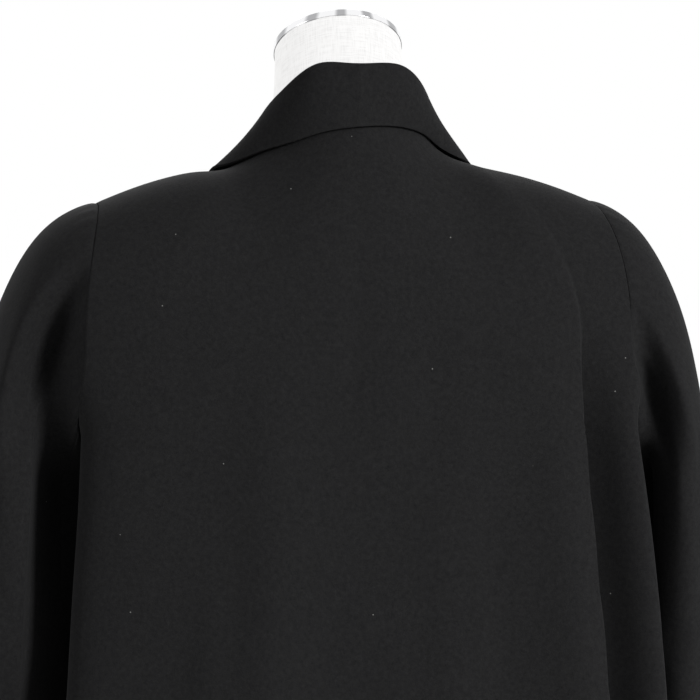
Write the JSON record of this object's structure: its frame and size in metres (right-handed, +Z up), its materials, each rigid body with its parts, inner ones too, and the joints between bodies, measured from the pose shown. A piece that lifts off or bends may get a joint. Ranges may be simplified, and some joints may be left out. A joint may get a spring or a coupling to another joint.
{
  "type": "chesterfield coat on a limbless dress form",
  "caption": "Straight wool overcoat with a turned-down collar, notched lapels, set-in sleeves and flap pockets, hanging on a linen-covered dress form with a pole and a round foot.",
  "frame": {"origin": "centre of the underside of the stand's round foot, on the floor", "axes": "+Z up along the stand's pole; the coat's front faces -Y and its left side is towards +X"},
  "size_m": [0.7603, 0.3602, 1.5987],
  "materials": {
    "wool": "black wool with a soft nap",
    "button": "dark, softly polished",
    "linen": "plain white linen",
    "ring": "polished",
    "cap": "matt white",
    "stand": "black, half matt"
  },
  "bodies": {
    "root": {"back": "wool", "front_left": "wool", "front_right": "wool", "lapel_left": "wool", "lapel_right": "wool", "collar": "wool", "sleeve_left_top": "wool", "sleeve_left_under": "wool", "sleeve_right_top": "wool", "sleeve_right_under": "wool", "flap_left": "wool", "flap_right": "wool", "button_1": "button", "button_2": "button", "button_3": "button", "form_body": "linen", "neck_ring": "ring", "neck_cap": "cap", "stand_pole": "stand", "stand_base": "stand"}
  },
  "joints": []
}
